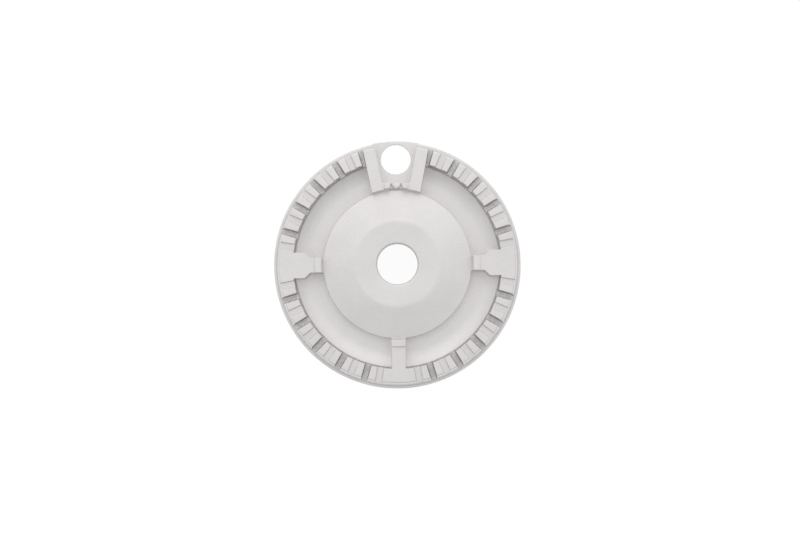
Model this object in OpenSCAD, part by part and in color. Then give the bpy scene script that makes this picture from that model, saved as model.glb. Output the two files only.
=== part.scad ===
// Gas burner crown: one aluminium casting that spreads the gas under a burner's cap.
// Origin on the axis of the centre hole, in the plane of the skirt's lower edge.
// +Z is up and +Y points to the electrode pocket.

/* [Flange and skirt] */
// Diameter of the flange
flange_d = 72; // [71.6:0.1:76]
// Thickness of the flange, the floors and the disc
wall = 2; // [1.6:0.1:2.4]
// Length of the skirt below the channel floor
skirt_h = 4.2; // [3:0.1:8]

/* [Port ring] */
// Diameter over the ring's top outer edge
ring_d = 68.7; // [67:0.1:69.4]
// Diameter inside the ring's top inner edge
ring_bore_d = 60.5; // [59.6:0.1:61.5]
// Height of the ring above the flange
ring_h = 4.5; // [4:0.1:5.2]
// How far the ring's outer side runs out at its foot
ring_foot = 0.95; // [0.5:0.05:1.1]
// How far the ring's inner side runs in at its foot
ring_lean = 0.35; // [0.1:0.05:0.6]

/* [Ports] */
// Angle from one main port to the next
port_pitch = 14; // [13.5:0.1:14.4]
// Angle from the pocket's axis to the first main port
port_first = 17; // [16.8:0.1:18]
// Main ports in each quarter
port_count = 5; // [3:1:5]
// Width of a port at its top
port_w = 1.95; // [1.5:0.05:2.1]
// Depth of the main ports
main_port_depth = 3.4; // [2.5:0.1:3.8]
// Depth of the shallow ports between them
small_port_depth = 0.8; // [0.4:0.1:1.4]
// Slant of a port's sides
port_draft = 3; // [1:0.5:5]

/* [Channel] */
// Depth of the channel below the ring's top
channel_depth = 5.8; // [5.2:0.1:6.4]
// Radius of the sweep from the channel's floor up to the ring
sweep_r = 9.7; // [6:0.1:10]
// Slope of the sweep where it meets the ring
sweep_slope = 30; // [20:1:34]

/* [Disc] */
// Diameter of the disc
disc_d = 43; // [42:0.1:43.6]
// Depth of the disc's edge below the ring's top
disc_drop = 2; // [1.5:0.1:2.5]
// Diameter of the ridge on the disc
ridge_d = 24.7; // [22:0.1:28]
// Depth of the ridge below the ring's top
ridge_drop = 0.7; // [0.3:0.1:1]
// Fall from the ridge to the centre hole
dish = 0.25; // [0.1:0.05:0.5]
// Diameter of the centre hole
throat_d = 11.7; // [10:0.1:13]
// Diameter of the socket below the centre hole
socket_d = 14.4; // [14:0.1:15.2]

/* [Spokes] */
// Width of the side spokes at the disc
spoke_w = 4.3; // [3.4:0.1:5.2]
// Width of the side spokes at the ring
spoke_root_w = 7.5; // [6.6:0.1:8]
// Width of the spoke that faces the pocket
back_spoke_w = 4.1; // [3.4:0.1:5.2]
// Outer radius of the raised lips that hold the cap in place
lip_r = 23.9; // [23:0.1:25]
// Height of the lips above the ring
lip_h = 0.9; // [0.5:0.1:1.4]

/* [Electrode pocket] */
// Diameter of the electrode hole
electrode_d = 8.8; // [8:0.1:9]
// Distance from the crown's axis to the electrode hole
electrode_y = 30.9; // [30.4:0.1:31.2]
// Width of the pocket at its end wall
pocket_w = 8.1; // [7.6:0.1:8.6]
// Distance from the crown's axis to the pocket's end wall
pocket_y = 23.6; // [23.3:0.1:24]
// Angle of the pocket's sides to its axis
pocket_flare = 11.1; // [9:0.1:11.4]
// Thickness of the pocket's side walls
pocket_wall = 3.5; // [3:0.1:3.7]
// How far the pocket's floor stands out past the flange
sill = 0.25; // [0.1:0.05:0.4]

/* [Hidden] */

$fn = 96;
cast_grey = "#dcd6d6";
past = 1;                 // how far a cut runs past the face that it opens
arc_step = 0.6;           // longest flat on a rounded corner

flange_r = flange_d / 2;
ring_r = ring_d / 2;
ring_foot_r = ring_r + ring_foot;
ring_in_r = ring_bore_d / 2;
ring_in_foot_r = ring_in_r - ring_lean;
disc_r = disc_d / 2;
ridge_r = ridge_d / 2;
throat_r = throat_d / 2;
socket_r = socket_d / 2;
collar_r = socket_r + wall;

ring_top = skirt_h + wall + channel_depth;
flange_top = ring_top - ring_h;
flange_under = flange_top - wall;
channel_floor = ring_top - channel_depth;
channel_under = channel_floor - wall;
sweep_top = channel_floor + sweep_r * (1 - cos(sweep_slope));
sweep_start_r = ring_in_foot_r - sweep_r * sin(sweep_slope);
lip_top = ring_top + lip_h;
disc_edge_z = ring_top - disc_drop;
ridge_z = ring_top - ridge_drop;
mouth_z = ridge_z - dish;
ledge_z = mouth_z - wall;
spoke_end_lean = 0.17;    // run per rise of the spokes' inner ends

collar_z = 1;             // the collar ends this far above the skirt's edge
collar_draft = 0.15;
skirt_in_r = disc_r - wall;
disc_fall = (ridge_z - disc_edge_z) / (disc_r - ridge_r);

// Swelling under the channel, which follows the sweep above it
belly_r = ring_in_foot_r - 0.6;
belly_end_r = ring_in_foot_r + 1.5;

// Small casting radii
edge_round = 0.5;
foot_round = 0.25;
rim_round = 0.3;
mouth_round = 0.6;
ridge_round = 6;
plan_round = 0.8;

sill_side = 0.3;          // how far the pocket's floor plate reaches under its walls

spoke_neck_r = 25.2;      // where the side spokes start to widen
spoke_shoulder_r = 26.8;  // where they have their full width
spoke_root_r = ring_in_r + 1.5;

// Lugs beside the ignition port, as half the plan
lug_out = [[1.5, 23.45], [3.45, 23.3], [3.35, 20.5], [2.1, 20.5]];
port_mouth_w = 3;         // width of the ignition port at the pocket
port_throat_w = 4.3;      // and at the disc
port_drop = 1.2;          // its floor below the ring's top
spout_r = 1.25;
spout_drop = 0.35;
spout_dish_r = 2.2;
spout_dish = 0.4;
ramp_end_r = 22.3;        // where the slope from the port's floor to the disc starts

pad_r = 1.8;              // pads under the channel, where the casting is pushed from its mould
pad_h = 0.25;
pad_ring_r = 26.3;
pad_count = 6;

// Turns the vector v by the angle a
function turned(v, a) = [v.x * cos(a) - v.y * sin(a), v.x * sin(a) + v.y * cos(a)];

// Points of the arc of radius r that rounds the corner p between a and b
function corner(a, p, b, r) =
    let (
        u = (a - p) / norm(a - p),
        v = (b - p) / norm(b - p),
        half = acos(u * v) / 2,
        middle = p + (u + v) / norm(u + v) * r / sin(half),
        first = p + u * r / tan(half) - middle,
        last = p + v * r / tan(half) - middle,
        sweep = (180 - 2 * half) * sign(cross(first, last)),
        steps = max(3, ceil(abs(sweep) * PI / 180 * r / arc_step))
    )
    [for (i = [0:steps]) middle + turned(first, sweep * i / steps)];

// Outline through corners given as [x, y, radius], a radius of 0 being sharp
function rounded(corners) =
    let (n = len(corners), xy = [for (c = corners) [c.x, c.y]])
    [
        for (i = [0:n - 1])
            each corners[i].z == 0
                ? [xy[i]]
                : corner(xy[(i + n - 1) % n], xy[i], xy[(i + 1) % n], corners[i].z)
    ];

// Half the width inside the pocket at the distance y from the axis
function pocket_half(y) = pocket_w / 2 + (y - pocket_y) * tan(pocket_flare);

// Half the width over the pocket's walls there
function block_half(y) = pocket_half(y) + pocket_wall / cos(pocket_flare);

// Solid of revolution with the crown's outer form
module blank() {
    rotate_extrude()
        polygon(rounded([
            [0, 0, 0],
            [disc_r, 0, foot_round],
            [disc_r, channel_under, foot_round],
            [belly_r, channel_under, 1.5],
            [belly_end_r, flange_under, edge_round],
            [flange_r, flange_under, foot_round],
            [flange_r, flange_top, rim_round],
            [ring_foot_r, flange_top, foot_round],
            [ring_r, ring_top, edge_round],
            [0, ring_top, 0]
        ]));
}

// Hollow over the disc, with the centre hole and the slanted ends of the spokes
module disc_hollow() {
    rise = lip_top + past - disc_edge_z;
    rotate_extrude()
        polygon(rounded([
            [0, ledge_z - past, 0],
            [throat_r, ledge_z - past, 0],
            [throat_r, mouth_z, mouth_round],
            [ridge_r, ridge_z, ridge_round],
            [disc_r, disc_edge_z, 0],
            [disc_r + rise * spoke_end_lean, disc_edge_z + rise, 0],
            [0, disc_edge_z + rise, 0]
        ]));
}

// Ring-shaped channel, cut everywhere but at the spokes and the pocket
module channel() {
    lean = ring_lean / (ring_top - sweep_top);
    sweep = [
        for (a = [0:sweep_slope / 8:sweep_slope])
            [sweep_start_r + sweep_r * sin(a), channel_floor + sweep_r * (1 - cos(a))]
    ];
    difference() {
        rotate_extrude()
            polygon(concat(
                [[disc_r, channel_floor]],
                sweep,
                [[ring_in_r + past * lean, ring_top + past], [disc_r, ring_top + past]]
            ));
        partitions(channel_floor - past, ring_top + 2 * past);
    }
}

module side_spoke_plan() {
    neck = spoke_w / 2;
    root = spoke_root_w / 2;
    inner = disc_r - 2 * wall;
    polygon(rounded([
        [inner, -neck, 0],
        [spoke_neck_r, -neck, plan_round],
        [spoke_shoulder_r, -root, plan_round],
        [spoke_root_r, -root, 0],
        [spoke_root_r, root, 0],
        [spoke_shoulder_r, root, plan_round],
        [spoke_neck_r, neck, plan_round],
        [inner, neck, 0]
    ]));
}

module back_spoke_plan() {
    inner = disc_r - 2 * wall;
    translate([-back_spoke_w / 2, -spoke_root_r])
        square([back_spoke_w, spoke_root_r - inner]);
}

module spoke_plans() {
    for (side = [0, 1])
        mirror([side, 0])
            side_spoke_plan();
    back_spoke_plan();
}

// Ground that the pocket and its walls stand on, from y0 outwards
module block_plan(y0) {
    y1 = flange_r + 2 * past;
    polygon([
        [-block_half(y0), y0],
        [block_half(y0), y0],
        [block_half(y1), y1],
        [-block_half(y1), y1]
    ]);
}

// Everything that divides the channel, from z0 to z1
module partitions(z0, z1) {
    translate([0, 0, z0])
        linear_extrude(z1 - z0) {
            spoke_plans();
            block_plan(disc_r - 2 * wall);
        }
}

// Prism of one port, centred on the angle a from +Y, clockwise from above
module port(a, depth) {
    flare = tan(port_draft);
    low = port_w / 2 - depth * flare;
    high = port_w / 2 + past * flare;
    inner = ring_in_foot_r - past;
    outer = flange_r + past;
    rotate(-a)
        translate([0, outer, ring_top])
            rotate([90, 0, 0])
                linear_extrude(outer - inner)
                    polygon([[-low, -depth], [low, -depth], [high, past], [-high, past]]);
}

// Ports of the quarters beside the pocket and of the quarters behind them
module ports() {
    difference() {
        for (side = [-1, 1], i = [0:port_count - 1]) {
            near = port_first + i * port_pitch;
            port(side * near, main_port_depth);
            port(180 + side * near, main_port_depth);
            port(side * (near + port_pitch / 2), small_port_depth);
            port(180 + side * (near + port_pitch / 2), small_port_depth);
        }
        translate([0, 0, flange_top])
            linear_extrude(2 * ring_h)
                block_plan(disc_r);
    }
    for (side = [-1, 1])
        port(180 + side * (port_first - port_pitch / 2), small_port_depth);
}

// Lips on the spokes' inner ends and lugs beside the ignition port
module lips() {
    translate([0, 0, ring_top - edge_round])
        linear_extrude(lip_h + edge_round) {
            intersection() {
                circle(lip_r);
                spoke_plans();
            }
            for (side = [0, 1])
                mirror([side, 0])
                    polygon(lug_out);
        }
}

// Room of the pocket above its floor, open outwards
module pocket() {
    y1 = flange_r + 2 * past;
    translate([0, 0, flange_top])
        linear_extrude(ring_h + lip_h + past)
            polygon([
                [-pocket_half(pocket_y), pocket_y],
                [pocket_half(pocket_y), pocket_y],
                [pocket_half(y1), y1],
                [-pocket_half(y1), y1]
            ]);
}

// Floor plate of the pocket, whose edge stands out past the flange
module pocket_floor() {
    y1 = flange_r + wall;
    intersection() {
        rotate_extrude()
            polygon(rounded([
                [0, flange_under, 0],
                [flange_r + sill, flange_under, foot_round],
                [flange_r + sill, flange_top, rim_round],
                [0, flange_top, 0]
            ]));
        linear_extrude(ring_top)
            polygon([
                [-pocket_half(pocket_y) - sill_side, pocket_y],
                [pocket_half(pocket_y) + sill_side, pocket_y],
                [pocket_half(y1) + sill_side, y1],
                [-pocket_half(y1) - sill_side, y1]
            ]);
    }
}

module electrode_hole() {
    translate([0, electrode_y, flange_under - past])
        cylinder(d = electrode_d, h = wall + 2 * past);
}

module ignition_plan() {
    polygon([
        [-port_mouth_w / 2, pocket_y + past],
        [port_mouth_w / 2, pocket_y + past],
        [port_mouth_w / 2, pocket_y],
        [port_throat_w / 2, disc_r - past],
        [-port_throat_w / 2, disc_r - past],
        [-port_mouth_w / 2, pocket_y]
    ]);
}

// Gap in the end wall that feeds gas to the spark, with a spout standing in it
module ignition_port() {
    floor_z = ring_top - port_drop;
    difference() {
        union() {
            translate([0, 0, floor_z])
                linear_extrude(port_drop + past)
                    ignition_plan();
            ignition_ramp(floor_z);
        }
        spout();
    }
}

module spout() {
    spout_y = pocket_y - spout_r / 3;
    difference() {
        translate([0, 0, disc_edge_z])
            linear_extrude(disc_drop - spout_drop) {
                translate([0, spout_y])
                    circle(spout_r);
                translate([-spout_r, spout_y])
                    square([2 * spout_r, 2 * past]);
            }
        translate([0, pocket_y - 2 * spout_r, ring_top - spout_drop + spout_dish_r - spout_dish])
            rotate([-90, 0, 0])
                cylinder(r = spout_dish_r, h = 4 * spout_r);
    }
}

// Slope from the ignition port's floor down to the disc
module ignition_ramp(floor_z) {
    intersection() {
        rotate_extrude()
            polygon([
                [disc_r, disc_edge_z],
                [ramp_end_r, floor_z + foot_round],
                [ramp_end_r, ring_top + past],
                [disc_r, ring_top + past]
            ]);
        linear_extrude(ring_top + 2 * past)
            ignition_plan();
    }
}

// Hollow between the skirt and the collar
module under_hollow() {
    corner_r = skirt_in_r - collar_draft;
    corner_z = ridge_z - wall - (corner_r - ridge_r) * disc_fall;
    root_r = collar_r + collar_draft;
    rotate_extrude()
        polygon(rounded([
            [0, -past, 0],
            [skirt_in_r, -past, 0],
            [corner_r, corner_z, edge_round],
            [ridge_r, ridge_z - wall, edge_round],
            [root_r, mouth_z - wall, edge_round],
            [collar_r, collar_z, foot_round],
            [0, collar_z, 0]
        ]));
}

module socket() {
    cylinder(r = socket_r, h = ledge_z);
}

// Under the pocket the casting is only as thick as the flange
module pocket_relief() {
    translate([0, 0, channel_under - past])
        linear_extrude(flange_under - channel_under + past)
            block_plan(electrode_y - electrode_d / 2 - 1.3);
}

module mould_pads() {
    for (i = [0:pad_count - 1])
        rotate((i + 0.5) * 360 / pad_count)
            translate([0, -pad_ring_r, channel_under - pad_h])
                cylinder(r = pad_r, h = pad_h + wall / 2);
}

module burner_crown() {
    color(cast_grey)
        difference() {
            union() {
                blank();
                lips();
                pocket_floor();
                mould_pads();
            }
            disc_hollow();
            channel();
            ports();
            pocket();
            electrode_hole();
            ignition_port();
            under_hollow();
            socket();
            pocket_relief();
        }
}

burner_crown();
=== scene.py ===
# %% [markdown]
# # A gas burner crown in Blender
#
# The crown is a single aluminium casting, a little wider than a tea cup. Gas rises through the
# hole in its middle, spreads over the disc, fills the open channel and leaves through the slots
# in the ring, where it burns. A plain cap covers it in use, and here the cap is off.
#
# The form already exists as a CAD solid in metres, and this lesson dresses it. The steps are:
# soften the edges as a mould does, mix the grey of blasted aluminium, put down a pale floor,
# light it softly, and set up the camera.

import math

import bmesh
import bpy
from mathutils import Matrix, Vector


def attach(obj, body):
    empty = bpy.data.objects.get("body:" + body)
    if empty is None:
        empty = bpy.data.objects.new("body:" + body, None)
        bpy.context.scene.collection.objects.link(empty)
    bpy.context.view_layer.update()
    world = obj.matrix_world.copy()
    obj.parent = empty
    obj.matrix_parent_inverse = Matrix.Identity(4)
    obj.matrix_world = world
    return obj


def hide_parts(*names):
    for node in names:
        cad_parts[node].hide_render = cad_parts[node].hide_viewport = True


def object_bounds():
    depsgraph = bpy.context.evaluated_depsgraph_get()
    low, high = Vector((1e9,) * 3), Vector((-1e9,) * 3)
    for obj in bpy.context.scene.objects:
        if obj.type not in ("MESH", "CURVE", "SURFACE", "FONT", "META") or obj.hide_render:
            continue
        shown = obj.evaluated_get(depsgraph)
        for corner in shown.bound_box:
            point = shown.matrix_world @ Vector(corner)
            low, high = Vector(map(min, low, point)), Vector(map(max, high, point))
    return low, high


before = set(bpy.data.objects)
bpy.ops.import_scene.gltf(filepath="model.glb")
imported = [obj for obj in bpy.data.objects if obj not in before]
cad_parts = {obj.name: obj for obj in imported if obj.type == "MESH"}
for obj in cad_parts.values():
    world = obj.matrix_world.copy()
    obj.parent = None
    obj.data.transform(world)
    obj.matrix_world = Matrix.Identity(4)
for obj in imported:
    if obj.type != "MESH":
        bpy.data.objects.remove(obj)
cad_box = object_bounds()
low, high = cad_box
print("the crown measures", [round(1000 * (b - a), 2) for a, b in zip(low, high)], "mm")

# %% [markdown]
# ## Sizes that the finish needs
#
# The material has to know where the port floors, the ring's top and the channel are, so a few
# of the drawing's levels and radii are repeated here, in millimetres. Blender works in metres,
# so one helper converts them.

# %% Levels and radii of the casting
MM = 0.001


def mm(*values):
    """Millimetres to metres, for one number or several."""
    return values[0] * MM if len(values) == 1 else tuple(v * MM for v in values)


RING_INNER_R = 30.25
RING_FOOT_R = 35.3
RING_TOP = 12.0
PORT_FLOOR = 8.6
FLANGE_TOP = 7.5
print("port floors lie", RING_TOP - PORT_FLOOR, "mm below the ring's top")

# %% [markdown]
# ## Softening the edges
#
# No edge of a casting is sharp: the mould is rounded where a cutter made it, and blasting
# with grit takes off the rest. Such an edge catches the light as a thin pale line, or holds a
# thin dark one when it turns away, and both can be seen all over this part. A bump map can't
# change an outline, so the edges are rounded in the mesh itself.
#
# The CAD mesh is made of long triangles. A copy of it is welded and its flat triangles are
# joined to large faces, after which a Bevel modifier can run along whole edges. A Weighted
# Normal modifier then lets the large faces stay flat while the narrow ones bend the light.

# %% Copy the mesh and join its flat faces
SHARP = math.radians(32)
FLAT = math.radians(0.3)
SAME_POINT = 0.001


def clean_copy(source, name):
    """A copy of a CAD node with welded corners, and one face where the solid is flat."""
    mesh = bmesh.new()
    mesh.from_mesh(source.data)
    bmesh.ops.remove_doubles(mesh, verts=mesh.verts, dist=mm(SAME_POINT))
    bmesh.ops.dissolve_limit(mesh, angle_limit=FLAT, verts=mesh.verts, edges=mesh.edges)
    for face in mesh.faces:
        face.smooth = True
    data = bpy.data.meshes.new(name)
    mesh.to_mesh(data)
    mesh.free()
    piece = bpy.data.objects.new(name, data)
    bpy.context.scene.collection.objects.link(piece)
    return piece


cad_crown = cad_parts["burner_crown"]
crown = clean_copy(cad_crown, "crown_casting")
print(len(cad_crown.data.polygons), "triangles became", len(crown.data.polygons), "faces")

# %% Round the edges
EDGE_RADIUS = 0.12
EDGE_STEPS = 2

bevel = crown.modifiers.new("cast edges", "BEVEL")
bevel.width = mm(EDGE_RADIUS)
bevel.segments = EDGE_STEPS
bevel.limit_method = "ANGLE"
bevel.angle_limit = SHARP
bevel.use_clamp_overlap = False
bevel.miter_outer = "MITER_ARC"

even = crown.modifiers.new("flat faces stay flat", "WEIGHTED_NORMAL")
even.mode = "FACE_AREA"
even.keep_sharp = False

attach(crown, "root")
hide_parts("burner_crown")
shown = crown.evaluated_get(bpy.context.evaluated_depsgraph_get())
print("after the bevel the crown has", len(shown.data.polygons), "faces")

# %% [markdown]
# ## Shader maths as plain expressions
#
# A material is a graph of nodes, and graphs are slow to read. The small class below wraps one
# output socket, so that `1 - mask * 0.3` builds the Math nodes for it. One method makes every
# other node: it takes the node's type, its settings and what goes into its sockets.

# %% A socket that takes part in sums
class Wire:
    """An output socket of a node tree, with arithmetic."""

    def __init__(self, tree, socket):
        self.tree = tree
        self.socket = socket

    def node(self, kind, settings=None, out=0, **inputs):
        """Adds a node, sets it up, connects it, and returns one of its outputs."""
        made = self.tree.nodes.new(kind)
        for key, value in (settings or {}).items():
            setattr(made, key, value)
        for key, value in inputs.items():
            by_number = key[0] == "i" and key[1:].isdigit()
            target = made.inputs[int(key[1:]) if by_number else key.replace("_", " ")]
            if isinstance(value, Wire):
                self.tree.links.new(value.socket, target)
            else:
                target.default_value = value
        return Wire(self.tree, made.outputs[out])

    def math(self, operation, *values, clamp=False):
        inputs = {f"i{n}": value for n, value in enumerate(values)}
        return self.node("ShaderNodeMath", {"operation": operation, "use_clamp": clamp}, **inputs)

    def __add__(self, other):
        return self.math("ADD", self, other)

    def __radd__(self, other):
        return self.math("ADD", other, self)

    def __sub__(self, other):
        return self.math("SUBTRACT", self, other)

    def __rsub__(self, other):
        return self.math("SUBTRACT", other, self)

    def __mul__(self, other):
        return self.math("MULTIPLY", self, other)

    def __rmul__(self, other):
        return self.math("MULTIPLY", other, self)

    def step(self, start, end):
        """0 below start, 1 above end and a soft rise between; start may be the larger one."""
        settings = {"interpolation_type": "SMOOTHSTEP"}
        if start < end:
            return self.node("ShaderNodeMapRange", settings, i0=self, i1=start, i2=end)
        return 1 - self.node("ShaderNodeMapRange", settings, i0=self, i1=end, i2=start)

    def blend(self, first, second):
        """Colour first where this value is 0, and second where it is 1."""
        settings = {"data_type": "RGBA"}
        return self.node("ShaderNodeMix", settings, out=2, i0=self, i6=first, i7=second)


def new_material(name):
    """An empty node material, with its output node and a handle for building."""
    material = bpy.data.materials.new(name)
    material.use_nodes = True
    tree = material.node_tree
    tree.nodes.clear()
    output = tree.nodes.new("ShaderNodeOutputMaterial")
    return material, Wire(tree, None), output


print("1 - mask now adds a Math node, and so do +, - and *")

# %% [markdown]
# ## Blasted aluminium
#
# Under a lens the surface is a field of tiny dents, each a few tenths of a millimetre wide,
# left by the grit. They scatter the light so widely that the metal looks almost chalky, with
# no mirror image in it. Three things vary: the tone, the roughness and the height.
#
# The dents are noise at their real size, measured on the object's own coordinates so that the
# pattern sits still on the part. The port floors get painted shade: a mask made from height and
# radius finds them, and their colour is darkened there in mottled patches.

# %% Where on the casting a point lies
aluminium, build, aluminium_output = new_material("blasted_aluminium")
place = build.node("ShaderNodeTexCoord", out=3)
across = build.node("ShaderNodeVectorMath", {"operation": "MULTIPLY"}, i0=place, i1=(1, 1, 0))
radius = build.node("ShaderNodeVectorMath", {"operation": "LENGTH"}, out=1, i0=across)
height = build.node("ShaderNodeSeparateXYZ", out=2, i0=place)

outside_channel = radius.step(*mm(RING_INNER_R - 0.8, RING_INNER_R))
inside_foot = radius.step(*mm(RING_FOOT_R + 0.3, RING_FOOT_R - 0.2))
below_top = height.step(*mm(RING_TOP - 0.3, PORT_FLOOR + 1.2))
above_flange = height.step(*mm(FLANGE_TOP + 0.5, FLANGE_TOP + 0.9))
in_port = outside_channel * inside_foot * below_top * above_flange
print("masks made with", len(aluminium.node_tree.nodes), "nodes")

# %% Tone
def noise(size, detail=2.0, roughness=0.5):
    """Noise whose cells are about size millimetres wide."""
    settings = {"noise_dimensions": "3D"}
    sockets = {"Vector": place, "Scale": 1 / mm(size), "Detail": detail, "Roughness": roughness}
    return build.node("ShaderNodeTexNoise", settings, **sockets)


CLOUD_SIZE = 9.0
WAVE_SIZE = 2.2
PATCH_SIZE = 0.7
SPECKLE_SIZE = 0.45
GRAIN_SIZE = 0.28
PALE = (0.80, 0.775, 0.775, 1)
DULL = (0.68, 0.655, 0.657, 1)
PORT_SHADE_TONE = (0.60, 0.58, 0.585, 1)

clouds = noise(CLOUD_SIZE, 3.0)
speckle = noise(SPECKLE_SIZE, 3.0, 0.6)
grain = noise(GRAIN_SIZE, 2.0, 0.6)
dullness = clouds.step(0.35, 0.75) * 0.22 + speckle.step(0.48, 0.72) * 0.3
tone = dullness.blend(PALE, DULL)
# Painted shade: the port floors are darkened towards the port colour in mottled patches.
port_shade = in_port * (0.45 + 0.55 * noise(PATCH_SIZE).step(0.35, 0.6))
tone = port_shade.blend(tone, PORT_SHADE_TONE)
print("tone between", PALE[:3], "and", DULL[:3])

# %% Roughness and height
SMOOTHEST = 0.38
WAVE_DEPTH = 0.08
DENT_DEPTH = 0.05

gloss_loss = SMOOTHEST + 0.08 * speckle + 0.05 * clouds
dents = 0.6 * grain + 0.4 * speckle
waves = noise(WAVE_SIZE)
swell = build.node("ShaderNodeBump", Strength=0.5, Distance=mm(WAVE_DEPTH), Height=waves)
pitted = {"Strength": 0.6, "Distance": mm(DENT_DEPTH), "Height": dents, "Normal": swell}
relief = build.node("ShaderNodeBump", **pitted)
print("roughness starts at", SMOOTHEST, "and the dents are up to", DENT_DEPTH, "mm deep")

# %% Put the metal together
skin = {"Base_Color": tone, "Metallic": 1.0, "Roughness": gloss_loss, "Normal": relief}
metal = build.node("ShaderNodeBsdfPrincipled", **skin)
aluminium.node_tree.links.new(metal.socket, aluminium_output.inputs["Surface"])
crown.data.materials.clear()
crown.data.materials.append(aluminium)
cad_crown.data.materials.clear()
cad_crown.data.materials.append(aluminium)
print("blasted aluminium has", len(aluminium.node_tree.nodes), "nodes")

# %% [markdown]
# ## A pale floor
#
# The part lies on a plain sheet and its background is white. The sheet shows almost its own
# white to the camera, and the small share that it takes from the lamps keeps a faint shadow
# under the flange. Reflections see the same white.

# %% Floor
FLOOR_HALF = 1.5
SHADOW_SHARE = 0.15
PAPER_GLOW = 1.07
PAPER_WHITE = (0.9, 0.9, 0.9, 1)
FULL_WHITE = (1, 1, 1, 1)


def square_sheet(name, half, level):
    """A level square sheet round the axis."""
    data = bpy.data.meshes.new(name)
    signs = ((-1, -1), (1, -1), (1, 1), (-1, 1))
    data.from_pydata([(half * x, half * y, level) for x, y in signs], [], [(0, 1, 2, 3)])
    sheet = bpy.data.objects.new(name, data)
    bpy.context.scene.collection.objects.link(sheet)
    return sheet


floor = square_sheet("floor_sheet", FLOOR_HALF, low.z)
paper, draw, paper_output = new_material("white_paper")
rays = paper.node_tree.nodes.new("ShaderNodeLightPath")
seen = Wire(paper.node_tree, rays.outputs["Is Camera Ray"])
mirrored = Wire(paper.node_tree, rays.outputs["Is Glossy Ray"])
through = Wire(paper.node_tree, rays.outputs["Is Transmission Ray"])
direct = draw.math("MAXIMUM", seen, draw.math("MAXIMUM", mirrored, through))
matt = draw.node("ShaderNodeBsdfDiffuse", Color=PAPER_WHITE)
glow = draw.node("ShaderNodeEmission", Color=FULL_WHITE, Strength=PAPER_GLOW)
glow_share = direct * (1 - SHADOW_SHARE)
sheet_look = draw.node("ShaderNodeMixShader", i0=glow_share, i1=matt, i2=glow)
paper.node_tree.links.new(sheet_look.socket, paper_output.inputs["Surface"])
floor.data.materials.append(paper)
print("the floor lies at", round(floor.data.vertices[0].co.z * 1000, 3), "mm")

# %% [markdown]
# ## Soft light from behind
#
# The shading tells where the light was. Slopes that face the top of the picture are brighter
# than level ones, those that face the bottom are darker, and the end wall of the electrode
# pocket throws a short soft shadow on the disc. So there is one large lamp behind the part,
# about halfway up, and a pale room around it that fills the rest.

# %% Lamp and room
BRIGHT_WAY = 3.0
LAMP_RISE = 50.0
LAMP_AWAY = 1.0
LAMP_SIDE = 0.9
LAMP_POWER = 0.6
ROOM_RISE = 40.0
ROOM_BRIGHT = 1.02
ROOM_DIM = 0.25


def towards(way, rise):
    """Unit vector to a place in the room, way degrees left of +Y and rise above the floor."""
    a, e = math.radians(way), math.radians(rise)
    return Vector((-math.sin(a) * math.cos(e), math.cos(a) * math.cos(e), math.sin(e)))


def aim(thing, target):
    """Turns a lamp, which shines along its own -Z, to a point."""
    thing.rotation_euler = (Vector(target) - thing.location).to_track_quat("-Z", "Y").to_euler()


def soft_lamp(name, direction, away, side, power):
    """A square lamp that shines on the part from that direction."""
    data = bpy.data.lights.new(name, "AREA")
    data.shape = "SQUARE"
    data.size = side
    data.energy = power
    lamp = bpy.data.objects.new(name, data)
    bpy.context.scene.collection.objects.link(lamp)
    lamp.location = direction * away
    aim(lamp, (0, 0, mm(RING_TOP)))
    return lamp


window = soft_lamp("window", towards(BRIGHT_WAY, LAMP_RISE), LAMP_AWAY, LAMP_SIDE, LAMP_POWER)

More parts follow.
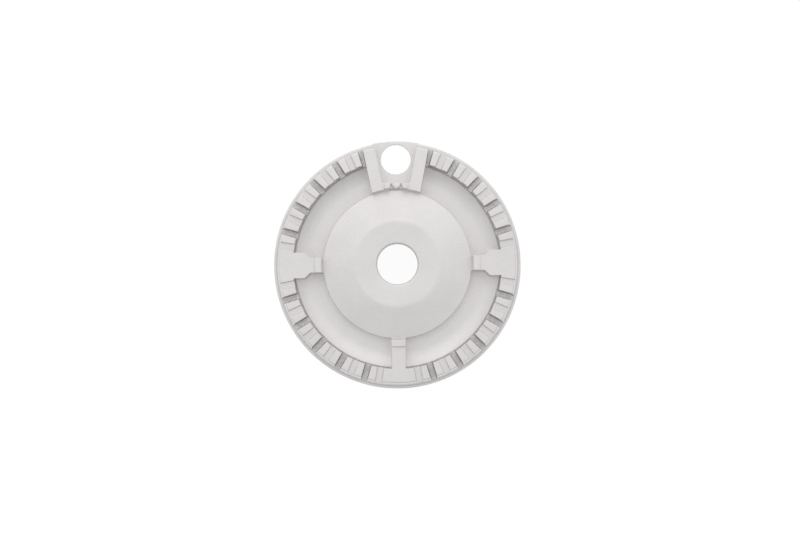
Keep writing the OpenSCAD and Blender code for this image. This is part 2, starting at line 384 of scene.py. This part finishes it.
room = bpy.data.worlds.new("pale_room")
room.use_nodes = True
room.node_tree.nodes.clear()
wall = Wire(room.node_tree, None)
room_output = room.node_tree.nodes.new("ShaderNodeOutputWorld")
room_rays = room.node_tree.nodes.new("ShaderNodeLightPath")
seen_by_camera = Wire(room.node_tree, room_rays.outputs["Is Camera Ray"])
looking = wall.node("ShaderNodeTexCoord", out=0)
to_bright = tuple(towards(BRIGHT_WAY, ROOM_RISE))
product = {"operation": "DOT_PRODUCT"}
facing = wall.node("ShaderNodeVectorMath", product, out=1, i0=looking, i1=to_bright)
glow_level = (ROOM_BRIGHT + ROOM_DIM) / 2 + facing * ((ROOM_BRIGHT - ROOM_DIM) / 2)
room_light = wall.node("ShaderNodeBackground", Color=FULL_WHITE, Strength=glow_level)
room_white = wall.node("ShaderNodeBackground", Color=FULL_WHITE, Strength=1.0)
room_look = wall.node("ShaderNodeMixShader", i0=seen_by_camera, i1=room_light, i2=room_white)
room.node_tree.links.new(room_look.socket, room_output.inputs["Surface"])
bpy.context.scene.world = room
print("lamp at", [round(v, 2) for v in window.location], "room from", ROOM_DIM, "to", ROOM_BRIGHT)

# %% [markdown]
# ## The camera
#
# The picture was taken from almost straight above, about three degrees towards the side away
# from the electrode pocket: the flange shows a little more there, and the hole's lower wall is
# hidden. One pixel of the picture covers 0.292 mm at the flange. From that and a camera held
# 450 mm away follows the lens, and the part is turned a little less than a degree.

# %% Camera
PICTURE_WIDTH = 800
PIXEL = 0.2917
CAMERA_AWAY = 450.0
TILT = 3.0
TURN = 0.9
RIGHT_OF_AXIS = 0.759
BELOW_AXIS = 0.5
SENSOR = 36.0

view_data = bpy.data.cameras.new("camera")
view_data.sensor_width = SENSOR
view_data.lens = view_data.sensor_width * CAMERA_AWAY / (PICTURE_WIDTH * PIXEL)
view_data.clip_start = 0.01
view_data.clip_end = 20.0
camera = bpy.data.objects.new("camera", view_data)
bpy.context.scene.collection.objects.link(camera)

turn, tilt = math.radians(TURN), math.radians(TILT)
up_in_picture = Vector((math.sin(turn), math.cos(turn), 0))
right_in_picture = Vector((math.cos(turn), -math.sin(turn), 0))
back = Vector((0, 0, math.cos(tilt))) - up_in_picture * math.sin(tilt)
target = Vector((0, 0, mm(FLANGE_TOP)))
target += right_in_picture * mm(RIGHT_OF_AXIS) - up_in_picture * mm(BELOW_AXIS)
camera.location = target + back * mm(CAMERA_AWAY)
up = back.cross(right_in_picture)
basis = camera.matrix_world.to_3x3()
basis.col[0], basis.col[1], basis.col[2] = right_in_picture, up, back
camera.rotation_euler = basis.to_euler()
bpy.context.scene.camera = camera
print("lens", round(view_data.lens, 2), "mm; camera at", [round(v, 4) for v in camera.location])

# %% Finish
bpy.context.scene.view_settings.view_transform = "Standard"
